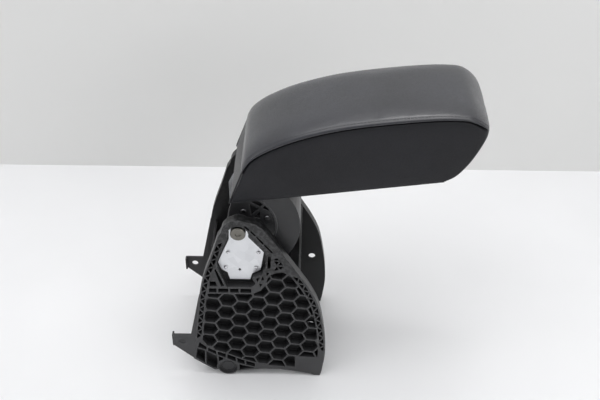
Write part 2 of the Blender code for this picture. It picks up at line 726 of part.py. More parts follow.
def bottom_line(rise=0.0):
    """The flat underside from the rear to the start of the chamfer, moved up by the rise."""
    lean = (SEAM[0][0] - PAD_REAR) / (SEAM[0][1] - PAD_UNDERSIDE)
    return [(PAD_REAR + rise * lean, PAD_UNDERSIDE + rise), (PAD_CHAMFER_START, PAD_UNDERSIDE + rise)]


def at_fraction(line, fraction):
    """The point that lies a fraction of the way along a line."""
    lengths = [math.dist(a, b) for a, b in zip(line, line[1:])]
    wanted = fraction * sum(lengths)
    for a, b, length in zip(line, line[1:], lengths):
        if wanted <= length or (a, b) == (line[-2], line[-1]):
            t = min(wanted / length, 1.0)
            return a[0] + (b[0] - a[0]) * t, a[1] + (b[1] - a[1]) * t
        wanted -= length


def crown_height(fraction):
    """How far the leather bulges over the seam: full on top, its own thickness where it ends."""
    edge = LEATHER + GAP
    rear = min(fraction / CROWN_RISE, 1.0)
    nose = min((1.0 - fraction) / CROWN_FALL, 1.0)
    return edge + (CROWN - edge) * math.sin(rear * math.pi / 2) * math.sin(nose * math.pi / 2)


def cover_section(index, line, half, thinner):
    """One cross-section of the cover: from the right seam over the crown to the left seam."""
    a = line[max(index - 1, 0)]
    b = line[min(index + 1, len(line) - 1)]
    dx, dy = unit(b[0] - a[0], b[1] - a[1])
    height = crown_height(index / (len(line) - 1)) - thinner
    points = []
    for k in range(COVER_STEPS + 1):
        angle = math.pi * k / COVER_STEPS
        sideways = -math.copysign(abs(math.cos(angle)) ** 0.55, math.cos(angle)) * half
        rise = math.sin(angle) ** 0.55 * height
        points.append((line[index][0] - dy * rise, sideways, line[index][1] + dx * rise))
    return points


def top_cover(look):
    """The leather skin: outer face, inner face and the cut edge between them."""
    line = seam_line()
    rings = []
    for i in range(len(line)):
        outer = cover_section(i, line, PAD_HALF, 0.0)
        inner = cover_section(i, line, PAD_HALF - LEATHER, LEATHER)
        rings.append(outer + inner[::-1])
    place("top_cover", loft(rings), look, PAD, 60)


def foam_core(look):
    line = line_offset(seam_line(), -1.5 * GAP)
    floor = bottom_line(TRAY + GAP)
    half = PAD_HALF - SIDE_PANEL - GAP
    rings = []
    for i in range(len(line)):
        top = cover_section(i, line, half, LEATHER + GAP)
        u, w = at_fraction(floor, i / (len(line) - 1))
        rings.append([(u, -half, w)] + top + [(u, half, w)])
    place("foam_core", loft(rings), look, PAD, 60)


def side_outline():
    seam = line_offset(seam_line(), -SEAM_GROOVE)
    floor = bottom_line()
    return floor + seam[::-1]


def side_panel(name, side, look):
    inner = side * (PAD_HALF - SIDE_PANEL)
    outer = side * PAD_HALF
    place(name, prism([side_outline()], inner, outer), look, PAD)


def rear_panel(look):
    """The leather panel that closes the pad's rear, between the side panels."""
    bottom = (PAD_REAR, PAD_UNDERSIDE)
    dx, dy = unit(SEAM[0][0] - bottom[0], SEAM[0][1] - bottom[1])
    top = (SEAM[0][0] - dx * 2 * SEAM_GROOVE, SEAM[0][1] - dy * 2 * SEAM_GROOVE)
    reach = GAP + REAR_PANEL
    outline = [(bottom[0] - dy * GAP, bottom[1] + dx * GAP), (top[0] - dy * GAP, top[1] + dx * GAP),
               (top[0] - dy * reach * 0.6, top[1] + dx * reach * 0.6),
               ((top[0] + bottom[0]) / 2 - dy * reach, (top[1] + bottom[1]) / 2 + dx * reach),
               (bottom[0] - dy * reach * 0.6, bottom[1] + dx * reach * 0.6)]
    place("rear_panel", prism([outline], -PAD_HALF, PAD_HALF), look, PAD)


def carrier_tray(look):
    """The moulded tray under the foam, with a flange down to each arm."""
    half = PAD_HALF - SIDE_PANEL - GAP
    outline = bottom_line() + bottom_line(TRAY)[::-1]
    tray = place("carrier_tray", prism([outline], -half, half), look, PAD)
    for side_name, side in SIDES:
        outer = ARM_OUTER - ARM_THICKNESS - GAP
        root = PAD_UNDERSIDE + TRAY / 2
        flange = FLANGE + [(FLANGE[-1][0] + 0.011, root), (FLANGE[0][0], root)]
        join(tray, side_name + "_flange", prism([flange], side * (outer - FLANGE_THICKNESS), side * outer))
    holes = [circle(centre, SCREW_RADIUS + GAP, 8) for centre in ARM_SCREWS]
    cut(tray, "screw_holes", prism(holes, -ARM_OUTER, ARM_OUTER))


def drum(look):
    """The round skirt below the pad: side walls with a round opening, joined by a curved skin."""
    start = math.asin((PAD_UNDERSIDE - GAP) / DRUM_RADIUS)
    inner_start = math.asin((PAD_UNDERSIDE - GAP) / DRUM_OPENING_RADIUS)
    outer = arc((0.0, 0.0), DRUM_RADIUS, DRUM_END_ANGLE, start, 22)
    opening = arc((0.0, 0.0), DRUM_OPENING_RADIUS, inner_start, DRUM_END_ANGLE, 20)
    body = place("hinge_drum", prism([outer + opening], -DRUM_HALF, DRUM_HALF), look, PAD)
    low = DRUM_END_ANGLE - DRUM_OVERCUT_ANGLE
    high = inner_start + DRUM_OVERCUT_ANGLE
    hollow_outer = arc((0.0, 0.0), DRUM_RADIUS - DRUM_WALL, low, high, 26)
    hollow_inner = arc((0.0, 0.0), DRUM_OPENING_RADIUS - DRUM_OVERCUT, high, low, 16)
    half = DRUM_HALF - DRUM_WALL
    cut(body, "hollow", prism([hollow_outer + hollow_inner], -half, half))
    inner = DRUM_OPENING_RADIUS + GAP
    bead = (arc((0.0, 0.0), inner, inner_start - BEAD_END_ANGLE, DRUM_END_ANGLE + BEAD_END_ANGLE, 20)
            + arc((0.0, 0.0), inner + DRUM_BEAD_WIDTH, DRUM_END_ANGLE + BEAD_END_ANGLE, inner_start - BEAD_END_ANGLE, 20))
    for side_name, side in SIDES:
        join(body, side_name + "_bead", prism([bead], side * (DRUM_HALF - DRUM_WALL / 2),
                                              side * (DRUM_HALF + DRUM_BEAD_HEIGHT)))


def arm_outline():
    top = PAD_UNDERSIDE - GAP
    hub = arc((0.0, 0.0), ARM_HUB_RADIUS, math.radians(165), math.radians(300), 10)
    return [(-0.004, top)] + hub + [(0.030, -0.0065), (0.0415, -0.0045), (0.0435, 0.010), (0.056, top)]


def arm_cells():
    """Pockets that leave crossed ribs on the arm's outer face."""
    cells = []
    corners = ([(0.018, 0.031), (0.030, 0.0205), (0.0395, 0.031)], [(0.042, 0.031), (0.0315, 0.019), (0.041, 0.0125)],
               [(0.0165, 0.028), (0.016, 0.009), (0.0285, 0.019)], [(0.018, 0.0065), (0.0275, 0.0035), (0.0295, 0.0165)])
    for corner in corners:
        cells.append(inset(corner, RIB / 4))
    return cells


def hinge_arm(name, side, look):
    inner = ARM_OUTER - ARM_THICKNESS
    arm = place(name, prism([arm_outline()], side * inner, side * ARM_OUTER), look, PAD)
    cut(arm, "pockets", prism(arm_cells(), side * (inner + ARM_WEB), side * (ARM_OUTER + 0.001)))
    hub = circle((0.0, 0.0), ARM_HUB_RADIUS - 0.0006)
    join(arm, "hub", prism([hub], side * (ARM_OUTER - 0.001), side * hub_face()))
    holes = [circle(centre, SCREW_RADIUS + GAP, 8) for centre in ARM_SCREWS]
    holes.append(circle((0.0, 0.0), PIN_RADIUS + GAP))
    cut(arm, "holes", prism(holes, side * (inner - 0.001), side * (hub_face() + 0.001)))


def arm_screw_profile():
    seat = ARM_OUTER + GAP
    tip = ARM_OUTER - ARM_THICKNESS - GAP - FLANGE_THICKNESS - 0.004
    top = seat + SCREW_HEAD_HEIGHT
    return [(0.0, top), (SCREW_HEAD_RADIUS - 0.0006, top), (SCREW_HEAD_RADIUS, top - 0.0008),
            (SCREW_HEAD_RADIUS, seat), (SCREW_RADIUS, seat), (SCREW_RADIUS, tip + 0.001), (0.0, tip)]


def main():
    looks = {
        "plastic": material("black_ribbed_plastic", (0.018, 0.018, 0.020), 0.42),
        "drum": material("black_smooth_plastic", (0.030, 0.030, 0.033), 0.38),
        "leather": material("dark_leather", (0.040, 0.041, 0.047), 0.48),
        "side": material("matt_side_vinyl", (0.022, 0.022, 0.024), 0.60),
        "rear": material("rear_leather", (0.046, 0.046, 0.050), 0.50),
        "foam": material("moulded_foam", (0.55, 0.50, 0.36), 0.95),
        "zinc": material("zinc_plated_steel", (0.62, 0.64, 0.66), 0.30, 1.0),
        "rivet": material("rivet_steel", (0.55, 0.57, 0.60), 0.28, 1.0),
        "pin": material("pin_steel", (0.24, 0.23, 0.20), 0.40, 1.0),
        "tube": material("blackened_tube", (0.03, 0.03, 0.03), 0.45, 0.6),
        "washer": material("friction_polymer", (0.10, 0.09, 0.07), 0.55),
    }
    for side_name, side in SIDES:
        cheek(side_name + "_cheek", side, looks["plastic"])
        hinge(side_name, side, looks)
    cross_members(looks["plastic"], looks["tube"])
    carrier_tray(looks["plastic"])
    drum(looks["drum"])
    foam_core(looks["foam"])
    top_cover(looks["leather"])
    rear_panel(looks["rear"])
    for side_name, side in SIDES:
        side_panel(side_name + "_side_panel", side, looks["side"])
        hinge_arm(side_name + "_hinge_arm", side, looks["plastic"])
        for number, centre in enumerate(ARM_SCREWS, 1):
            turned(f"{side_name}_arm_screw_{number}", arm_screw_profile(), centre, side, looks["rivet"], PAD, 10)


def clear_scene():
    for old in list(bpy.data.objects):
        bpy.data.objects.remove(old)


def empty(name, parent, location, rotation):
    made = bpy.data.objects.new(name, None)
    PARTS.objects.link(made)
    made.parent = parent
    made.location = location
    made.rotation_euler = rotation
    return made


def middle_of_length():
    """How far ahead of the pin the middle of the whole armrest lies."""
    line = seam_line()
    ridge = [cover_section(i, line, PAD_HALF, 0.0)[COVER_STEPS // 2] for i in range(len(line))]
    front = max(point[0] * math.cos(REST_TILT) - point[2] * math.sin(REST_TILT) for point in ridge)
    rear = EAR_TIP - EAR_LIP
    return (front + rear) / 2


clear_scene()
PARTS = collection("car_armrest")
CUTTERS = collection("cutters")
BASE = empty("base_origin", None, (-middle_of_length(), 0.0, 0.0), (0.0, 0.0, 0.0))
PAD = empty("pad_hinge_axis", BASE, (0.0, 0.0, PIVOT_HEIGHT), (0.0, -REST_TILT, 0.0))
main()
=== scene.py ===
"""Looks of the car armrest: upholstered pad, ribbed plastic base, steel hinge parts and a pale studio."""
import json
import math

import bmesh
import bpy
import numpy as np
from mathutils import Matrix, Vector, noise
from mathutils.geometry import delaunay_2d_cdt


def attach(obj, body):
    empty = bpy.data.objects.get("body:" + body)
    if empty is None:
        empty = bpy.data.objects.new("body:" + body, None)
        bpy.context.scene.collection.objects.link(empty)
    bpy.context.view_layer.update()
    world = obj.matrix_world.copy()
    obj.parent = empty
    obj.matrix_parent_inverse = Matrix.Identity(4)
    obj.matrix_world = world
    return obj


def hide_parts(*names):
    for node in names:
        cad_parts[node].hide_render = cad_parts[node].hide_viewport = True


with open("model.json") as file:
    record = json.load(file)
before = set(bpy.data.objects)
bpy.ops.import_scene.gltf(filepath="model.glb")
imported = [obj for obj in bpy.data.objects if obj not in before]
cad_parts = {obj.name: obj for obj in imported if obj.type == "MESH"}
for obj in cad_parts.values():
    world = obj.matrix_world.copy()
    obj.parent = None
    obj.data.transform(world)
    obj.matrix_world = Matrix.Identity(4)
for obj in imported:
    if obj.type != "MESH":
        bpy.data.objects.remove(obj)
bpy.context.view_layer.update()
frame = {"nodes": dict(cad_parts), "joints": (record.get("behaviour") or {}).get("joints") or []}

MM = 0.001
NODES = frame["nodes"]
PIN = Vector(frame["joints"][0]["pos_m"])
REST_TILT = math.radians(7.9)
PAD_HALF = 62.0

# The pad's outline in its own axes, in millimetres from the hinge pin: over the top and round the nose
SEAM = ((16.3, 77.3), (22.3, 85.6), (29.8, 92.6), (42.0, 99.6), (54.9, 104.9), (72.0, 110.4), (91, 115),
        (114, 119), (137, 121.6), (163, 122.9), (190, 123.1), (222, 122.6), (249, 121.2), (266, 119.4),
        (282.5, 116), (293.4, 109.6), (300.2, 103), (303.8, 96.2))
NOSE_DOWN = ((303.2, 90.6), (299.4, 84.4), (292.5, 74.2), (280.7, 57.6), (269.5, 45.3), (261.5, 39.2),
             (253.6, 35.6))
NOSE_FRONT = 304.3
UNDERSIDE = 34.0
PAD_REAR = -5.2

# The nose's corners in plan: how long they are, how far they come in, and where their ellipse is cut off
NOSE_CORNER = 20.0
NOSE_INSET = 9.0
NOSE_CUT = 0.98

# The side panels' edge lies under the outline by one drop over the top, and by another on the nose's chamfer,
# where the top leather tucks in. Both change over CHAMFER_BLEND, which begins CHAMFER_LEAD before the chamfer.
SEAM_DROP = 2.9
CHAMFER_DROP = -0.9
CHAMFER_TUCK = 2.2
CHAMFER_LEAD = 7.0
CHAMFER_BLEND = 12.0

LEATHER_THICKNESS = 1.5


# Curves and meshes


def spline(points, step):
    """A Catmull-Rom curve through the points, cut into equal steps."""
    ends = np.array([points[0], *points, points[-1]], float)
    curve = []
    for a, b, c, d in zip(ends, ends[1:], ends[2:], ends[3:]):
        t = np.linspace(0, 1, 24, endpoint=False)[:, None]
        curve.append(0.5 * (2 * b + (c - a) * t + (2 * a - 5 * b + 4 * c - d) * t * t
                            + (3 * b - a - 3 * c + d) * t ** 3))
    curve = np.vstack([*curve, ends[-1:]])
    travelled = np.concatenate([[0], np.cumsum(np.linalg.norm(np.diff(curve, axis=0), axis=1))])
    count = max(int(round(travelled[-1] / step)), 2)
    wanted = np.linspace(0, travelled[-1], count + 1)
    return np.stack([np.interp(wanted, travelled, curve[:, i]) for i in (0, 1)], axis=1)


def lengths(line):
    return np.concatenate([[0], np.cumsum(np.linalg.norm(np.diff(line, axis=0), axis=1))])


def normals(line):
    """Left-hand normals: outwards, for a line that runs from the rear over the top to the nose."""
    along = np.gradient(line, axis=0)
    along /= np.linalg.norm(along, axis=1)[:, None]
    return np.stack([-along[:, 1], along[:, 0]], axis=1)


def pad_to_world(points):
    """From the pad's own axes (along, across, up from the pin, in millimetres) to metres in the frame."""
    p = np.asarray(points, float) * MM
    c, s = math.cos(REST_TILT), math.sin(REST_TILT)
    return np.stack([PIN.x + p[:, 0] * c - p[:, 2] * s, p[:, 1], PIN.z + p[:, 0] * s + p[:, 2] * c], axis=1)


def solid(name, points, faces, look, sharp=None):
    """An object with smooth shading; sharp is the angle in degrees from which its edges stay hard."""
    mesh = bpy.data.meshes.new(name)
    mesh.from_pydata([tuple(p) for p in points], [], [tuple(int(i) for i in f) for f in faces])
    work = bmesh.new()
    work.from_mesh(mesh)
    bmesh.ops.recalc_face_normals(work, faces=work.faces)
    work.to_mesh(mesh)
    work.free()
    mesh.shade_smooth()
    if sharp:
        mesh.set_sharp_from_angle(angle=math.radians(sharp))
    made = bpy.data.objects.new(name, mesh)
    bpy.context.scene.collection.objects.link(made)
    if look:
        mesh.materials.append(look)
    return made


def grid_faces(rows, columns, closed=False):
    """Four-sided faces of a grid of points, row by row; closed joins each row's last point to its first."""
    faces = []
    for i in range(rows - 1):
        for j in range(columns if closed else columns - 1):
            a = i * columns + j
            b = i * columns + (j + 1) % columns
            faces.append((a, b, b + columns, a + columns))
    return faces


def tube_faces(rings, around):
    """Faces through rings of points, closed at both ends."""
    last = (rings - 1) * around
    ends = [tuple(range(around))[::-1], tuple(range(last, last + around))]
    return grid_faces(rings, around, closed=True) + ends


def thicken(sheet):
    """Gives a sheet the leather's thickness, inwards."""
    shell = sheet.modifiers.new("thickness", "SOLIDIFY")
    shell.thickness = LEATHER_THICKNESS * MM
    shell.offset = -1.0
    return sheet


# Materials


class Look:
    """A material and short names for the nodes that it needs."""

    def __init__(self, name):
        self.material = bpy.data.materials.new(name)
        self.material.use_nodes = True
        self.tree = self.material.node_tree
        self.shader = self.tree.nodes["Principled BSDF"]

    def put(self, kind, settings=None, **inputs):
        made = self.tree.nodes.new(kind)
        for key, value in (settings or {}).items():
            setattr(made, key, value)
        for key, value in inputs.items():
            self.plug(made, key.replace("_", " "), value)
        return made

    def plug(self, node, socket, value):
        target = node.inputs[int(socket)] if socket.isdigit() else node.inputs[socket]
        if isinstance(value, bpy.types.NodeSocket):
            self.tree.links.new(value, target)
        elif isinstance(value, bpy.types.Node):
            self.tree.links.new(value.outputs[0], target)
        else:
            target.default_value = value

    def place(self):
        return self.put("ShaderNodeTexCoord").outputs["Object"]

    def noise(self, scale, detail=3.0, roughness=0.5, vector=None):
        made = self.put("ShaderNodeTexNoise", Scale=scale, Detail=detail, Roughness=roughness)
        self.plug(made, "Vector", vector or self.place())
        return made.outputs["Fac"]

    def ramp(self, value, *stops):
        made = self.put("ShaderNodeValToRGB", Fac=value)
        ramp = made.color_ramp
        while len(ramp.elements) < len(stops):
            ramp.elements.new(0.5)
        for element, (position, level) in zip(ramp.elements, stops):
            element.position = position
            element.color = (*level, 1) if isinstance(level, tuple) else (level, level, level, 1)
        return made.outputs["Color"]

    def maths(self, operation, a, b=0.0):
        made = self.put("ShaderNodeMath", {"operation": operation})
        self.plug(made, "0", a)
        self.plug(made, "1", b)
        return made.outputs[0]

    def mix(self, factor, a, b):
        made = self.put("ShaderNodeMix", {"data_type": "RGBA"})
        self.plug(made, "0", factor)
        for index, value in ((6, a), (7, b)):
            if isinstance(value, tuple):
                value = (*value, 1.0)
            self.plug(made, str(index), value)
        return made.outputs[2]

    def spread(self, value, low, high):
        """The value from 0 to 1 moved to a range."""
        made = self.put("ShaderNodeMapRange", Value=value)
        made.inputs["To Min"].default_value = low
        made.inputs["To Max"].default_value = high
        return made.outputs[0]

    def bump(self, height, strength, distance, normal=None):
        made = self.put("ShaderNodeBump", Height=height, Strength=strength, Distance=distance)
        if normal is not None:
            self.plug(made, "Normal", normal)
        return made.outputs[0]

    def bevel(self, radius):
        return self.put("ShaderNodeBevel", {"samples": 4}, Radius=radius).outputs[0]

    def finish(self, **sockets):
        for key, value in sockets.items():
            if isinstance(value, tuple) and len(value) == 3:
                value = (*value, 1.0)
            self.plug(self.shader, key.replace("_", " "), value)
        return self.material


def leather(name, dark, light, roughness, gloss=0.0, shine=0.5, grain=620.0, depth=0.00022):
    """Embossed leather: rounded grains with creases between them that get painted shade, soft folds and a thin
    glossy finish.
    """
    look = Look(name)
    wander = look.put("ShaderNodeTexNoise", Scale=90.0, Detail=2.0)
    look.plug(wander, "Vector", look.place())
    bent = look.put("ShaderNodeVectorMath", {"operation": "MULTIPLY_ADD"})
    look.plug(bent, "0", wander.outputs["Color"])
    bent.inputs[1].default_value = (0.004, 0.004, 0.004)
    look.plug(bent, "2", look.place())
    cells = look.put("ShaderNodeTexVoronoi", {"feature": "DISTANCE_TO_EDGE"}, Scale=grain)
    look.plug(cells, "Vector", bent.outputs[0])
    crease = look.ramp(cells.outputs["Distance"], (0.0, 0.0), (0.22, 1.0))
    pores = look.noise(2600.0, 2.0)
    folds = look.noise(38.0, 4.0, 0.55)
    cloud = look.noise(9.0, 3.0, 0.6)
    normal = look.bump(folds, 0.10, 0.004)
    normal = look.bump(crease, 0.35, depth, normal)
    normal = look.bump(pores, 0.10, 0.0001, normal)
    tone = look.mix(look.ramp(cloud, (0.30, 0.0), (0.72, 1.0)), dark, light)
    # Painted shade: the creases between the grains are darkened.
    tone = look.mix(look.spread(crease, 0.72, 1.0), (0.0, 0.0, 0.0), tone)
    rough = look.maths("ADD", look.spread(folds, -0.05, 0.06),
                       look.spread(crease, roughness + 0.10, roughness - 0.02))
    look.finish(Coat_Weight=gloss, Coat_Roughness=0.19, Specular_IOR_Level=shine)
    return look.finish(Base_Color=tone, Roughness=rough, Normal=normal)


# The cheeks: their pocket floors' distance from the middle, the depth over which the painted shade on the
# pocket floors fades and its strength, and the heights over which their heads get blotched
POCKET_FLOOR = 0.0695
POCKET_FADE = 0.011
POCKET_SHADE = 0.35
HEAD_HEIGHTS = (0.155, 0.190)


def moulded_plastic(name, dark, light, roughness, rounding, pockets=False, edge=0.10):
    """Spark-textured plastic with a painted highlight along its edges; with pockets, painted shade darkens the
    pocket floors and the heads are blotched darker.
    """
    look = Look(name)
    place = look.place()
    sparks = look.noise(1500.0, 3.0, 0.6, place)
    cloud = look.noise(24.0, 5.0, 0.62, place)
    tone = look.mix(look.ramp(cloud, (0.34, 0.0), (0.70, 1.0)), dark, light)
    if pockets:
        # Painted shade: the pocket floors, nearer the middle than POCKET_FLOOR, are darkened.
        split = look.put("ShaderNodeSeparateXYZ", Vector=place)
        side = look.maths("ABSOLUTE", split.outputs["Y"])
        out = look.put("ShaderNodeMapRange", Value=side)
        out.inputs["From Min"].default_value = POCKET_FLOOR
        out.inputs["From Max"].default_value = POCKET_FLOOR + POCKET_FADE
        tone = look.mix(out.outputs[0], tuple(c * POCKET_SHADE for c in dark), tone)
        high = look.put("ShaderNodeMapRange", Value=split.outputs["Z"])
        high.inputs["From Min"].default_value, high.inputs["From Max"].default_value = HEAD_HEIGHTS
        blotch = look.ramp(look.noise(240.0, 2.0, 0.5, place), (0.45, 0.18), (0.59, 1.0))
        headed = look.put("ShaderNodeMix", {"data_type": "RGBA", "blend_type": "MULTIPLY"})
        look.plug(headed, "0", high.outputs[0])
        look.plug(headed, "6", tone)
        look.plug(headed, "7", blotch)
        tone = headed.outputs[2]
    normal = look.bevel(rounding)
    turned = look.put("ShaderNodeVectorMath", {"operation": "DOT_PRODUCT"})
    look.plug(turned, "0", normal)
    look.plug(turned, "1", look.put("ShaderNodeNewGeometry").outputs["Normal"])
    # Painted highlight: where the bevel normal turns away from the true normal, at the edges, the colour is
    # lightened towards the edge tone, broken up by noise.
    painted_edge_highlight = look.ramp(turned.outputs["Value"], (0.86, 1.0), (0.985, 0.0))
    painted_edge_highlight = look.maths("MULTIPLY", painted_edge_highlight, look.spread(cloud, 0.1, 1.0))
    tone = look.mix(painted_edge_highlight, tone, (edge, edge, edge * 1.02))
    normal = look.bump(sparks, 0.16, 0.00012, normal)
    normal = look.bump(cloud, 0.05, 0.001, normal)
    rough = look.maths("ADD", look.spread(cloud, -0.07, 0.09), roughness)
    return look.finish(Base_Color=tone, Roughness=rough, Normal=normal)


def steel(name, dark, light, roughness, rounding, spangle=90.0):
    """Plated steel with faint crystals and fine scratches."""
    look = Look(name)
    place = look.place()
    cells = look.put("ShaderNodeTexVoronoi", {"feature": "F1"}, Scale=spangle)
    look.plug(cells, "Vector", place)
    facet = look.put("ShaderNodeSeparateColor", Color=cells.outputs["Color"]).outputs[0]
    cloud = look.noise(60.0, 4.0, 0.6, place)
    stretched = look.put("ShaderNodeMapping", Vector=place)
    stretched.inputs["Scale"].default_value = (1.0, 1.0, 0.04)
    scratch = look.noise(3000.0, 2.0, 0.5, stretched.outputs[0])
    tone = look.mix(look.maths("MULTIPLY", look.maths("ADD", facet, cloud), 0.5), dark, light)
    rough = look.maths("ADD", look.spread(cloud, -0.06, 0.08),
                       look.spread(facet, roughness - 0.03, roughness + 0.03))
    normal = look.bump(scratch, 0.05, 0.00005, look.bevel(rounding))
    return look.finish(Base_Color=tone, Roughness=rough, Metallic=1.0, Normal=normal)


def thread(name, colour):
    """Twisted thread."""
    look = Look(name)
    twist = look.put("ShaderNodeTexWave", {"bands_direction": "DIAGONAL"}, Scale=700.0, Distortion=1.0)
    look.plug(twist, "Vector", look.place())
    tone = look.mix(twist.outputs["Fac"], tuple(c * 0.55 for c in colour), colour)
    return look.finish(Base_Color=tone, Roughness=0.62, Normal=look.bump(twist.outputs["Fac"], 0.4, 0.0001))


# Pad

LINE_STEP = 2.6
TOP_LINE = spline(SEAM + NOSE_DOWN, LINE_STEP)
TOP_LENGTH = lengths(TOP_LINE)
TOP_NORMAL = normals(TOP_LINE)
SEAM_LENGTH = lengths(spline(SEAM, LINE_STEP))[-1]

# Height of the crown over the seam, by the length along the seam
CROWN = ((0, 1.2), (6, 3.4), (16, 5.8), (34, 8.2), (70, 9.8), (130, 9.8), (200, 8.8), (250, 7.6), (285, 6.1),
         (SEAM_LENGTH - 12, 4.2), (SEAM_LENGTH, 3.4), (SEAM_LENGTH + 14, 2.2), (SEAM_LENGTH + 60, 1.6),
         (TOP_LENGTH[-1], 0.6))

# Columns of the top leather, by their distance in from the edge, and its section with the stitch channel
ACROSS = (0, 0.5, 1.1, 1.8, 2.5, 3.0, 3.4, 3.8, 4.3, 5.0, 6.2, 8, 10.5, 14, 19, 25, 32, 40, 50, 62)
SHOULDER_POWER = 4.2
SHOULDER_ROOT = 1.8
STITCH_INSET = 3.4
TOP_WAVE = 0.22
CHANNEL_DEPTH = 0.3
CHANNEL_WIDTH = 0.7

# The top leather's hem, which turns in and down: distances outwards from the edge, and rises
HEM = ((-0.3, -0.8), (-1.0, -1.5), (-2.4, -1.9), (-5.0, -1.9))

# The cloth simulation: the sheet starts lower than the crown, and the foam presses it out
LIFT_ACROSS = 25
LIFT_OFFSETS = np.linspace(-PAD_HALF, PAD_HALF, LIFT_ACROSS)
SLACK_CROWN = 0.93
SWELL_FRAMES = 20
SWELL_CAP = 1.6
SHEET = {
    "quality": 7,
    "mass": 0.2,
    "tension_stiffness": 60,
    "compression_stiffness": 60,
    "shear_stiffness": 12,
    "bending_stiffness": 4.0,
    "vertex_group_mass": "sewn",
    "shrink_min": -0.0015,
    "use_pressure": True,
    "uniform_pressure_force": 4.0,
}


def half_width(u):
    """Half the pad's width: the nose's corners are rounded in plan."""
    over = np.clip((np.asarray(u, float) - NOSE_FRONT) / NOSE_CORNER + 1.0, 0.0, NOSE_CUT)
    return PAD_HALF - NOSE_INSET * (1.0 - np.sqrt(1.0 - over ** 2))


def on_chamfer():
    """From 0 over the top to 1 along the nose's chamfer, for each point of TOP_LINE."""
    return np.clip((TOP_LENGTH - SEAM_LENGTH + CHAMFER_LEAD) / CHAMFER_BLEND, 0.0, 1.0)


def crown_heights():
    """The crown's height for each point of TOP_LINE, before the foam presses it out."""
    return SLACK_CROWN * np.interp(TOP_LENGTH, [a for a, b in CROWN], [b for a, b in CROWN])


def section_height(distance, crown):
    """How far the leather stands over its seam, by the distance in from its edge."""
    s = 1.0 - np.asarray(distance, float) / PAD_HALF
    channel = CHANNEL_DEPTH * np.exp(-((distance - STITCH_INSET) / CHANNEL_WIDTH) ** 2)
    return crown * (1.0 - s ** SHOULDER_POWER) ** (1 / SHOULDER_ROOT) - channel


def cut_sheet(rows, crown):
    """The cut leather before it is pressed out, with the group sewn along its seams, and its points."""
    base, normal = TOP_LINE[rows], TOP_NORMAL[rows]
    rise = section_height(PAD_HALF - np.abs(LIFT_OFFSETS)[None, :], crown[rows][:, None])
    half = half_width(base[:, 0])[:, None]
    points = np.stack([base[:, :1] + normal[:, :1] * rise, half * LIFT_OFFSETS[None, :] / PAD_HALF,
                       base[:, 1:] + normal[:, 1:] * rise], axis=2)
    start = pad_to_world(points.reshape(-1, 3))
    sheet = solid("leather_cut", start, grid_faces(len(rows), LIFT_ACROSS), None)
    if sheet.data.polygons[len(sheet.data.polygons) // 3].normal.z < 0:
        sheet.data.flip_normals()
    sewn = sheet.vertex_groups.new(name="sewn")
    for i in range(len(rows)):
        for j in range(LIFT_ACROSS):
            if i in (0, len(rows) - 1) or j in (0, LIFT_ACROSS - 1):
                sewn.add([i * LIFT_ACROSS + j], 1.0, "REPLACE")
    return sheet, start


def swelling(crown):
    """How far the foam's pressure moves the leather, in millimetres, from a cloth simulation of the cut sheet.

    The sheet is pinned along its seams. The answer has a row for each point of TOP_LINE, and LIFT_ACROSS
    columns.
    """
    rows = np.arange(0, len(TOP_LINE), 2)
    sheet, start = cut_sheet(rows, crown)
    cloth = sheet.modifiers.new("swell", "CLOTH")
    for name, value in SHEET.items():
        setattr(cloth.settings, name, value)
    cloth.settings.effector_weights.gravity = 0.0
    cloth.collision_settings.use_collision = False
    scene = bpy.context.scene
    for moment in range(1, SWELL_FRAMES + 1):
        scene.frame_set(moment)
    settled = sheet.evaluated_get(bpy.context.evaluated_depsgraph_get()).to_mesh()
    ended = np.zeros(len(settled.vertices) * 3)
    settled.vertices.foreach_get("co", ended)
    moved = (ended.reshape(-1, 3) - start) / MM
    c, s = math.cos(REST_TILT), math.sin(REST_TILT)
    normal = TOP_NORMAL[rows]
    out = np.stack([normal[:, 0] * c - normal[:, 1] * s, normal[:, 0] * s + normal[:, 1] * c], axis=1)
    out = np.repeat(out, LIFT_ACROSS, axis=0)
    lift = (moved[:, 0] * out[:, 0] + moved[:, 2] * out[:, 1]).reshape(len(rows), LIFT_ACROSS)
    bpy.data.objects.remove(sheet)
    scene.frame_set(1)
    lift = np.clip(lift, -SWELL_CAP, SWELL_CAP)
    every = np.arange(len(TOP_LINE))
    return np.stack([np.interp(every, rows, lift[:, j]) for j in range(LIFT_ACROSS)], axis=1)


def top_leather(look):
    """The leather from the rear seam over the crown and round the nose, with a rolled hem along each side."""
    crown = crown_heights()
    lift = swelling(crown)
    columns = [(-1, d, h) for d, h in HEM[::-1]] + [(-1, d, None) for d in ACROSS[:-1]]
    columns += [(1, d, None) for d in ACROSS[::-1]] + [(1, d, h) for d, h in HEM]
    points = []
    tuck = CHAMFER_TUCK * on_chamfer()
    for i, (base, normal) in enumerate(zip(TOP_LINE, TOP_NORMAL)):
        half = half_width(base[0]) - tuck[i]
        for side, distance, rise in columns:
            if rise is None:
                across = side * (half - distance * half / PAD_HALF)
                rise = section_height(distance, crown[i])
                wave = noise.noise(Vector((TOP_LENGTH[i] / 34, across / 30, 3.1)))
                rise += TOP_WAVE * wave * min(distance / 12, 1.0)
                rise += float(np.interp(side * (PAD_HALF - distance), LIFT_OFFSETS, lift[i]))
            else:
                across = side * (half + distance)
            points.append((base[0] + normal[0] * rise, across, base[1] + normal[1] * rise))
    faces = grid_faces(len(TOP_LINE), len(columns))
    return thicken(solid("top_leather", pad_to_world(points), faces, look))


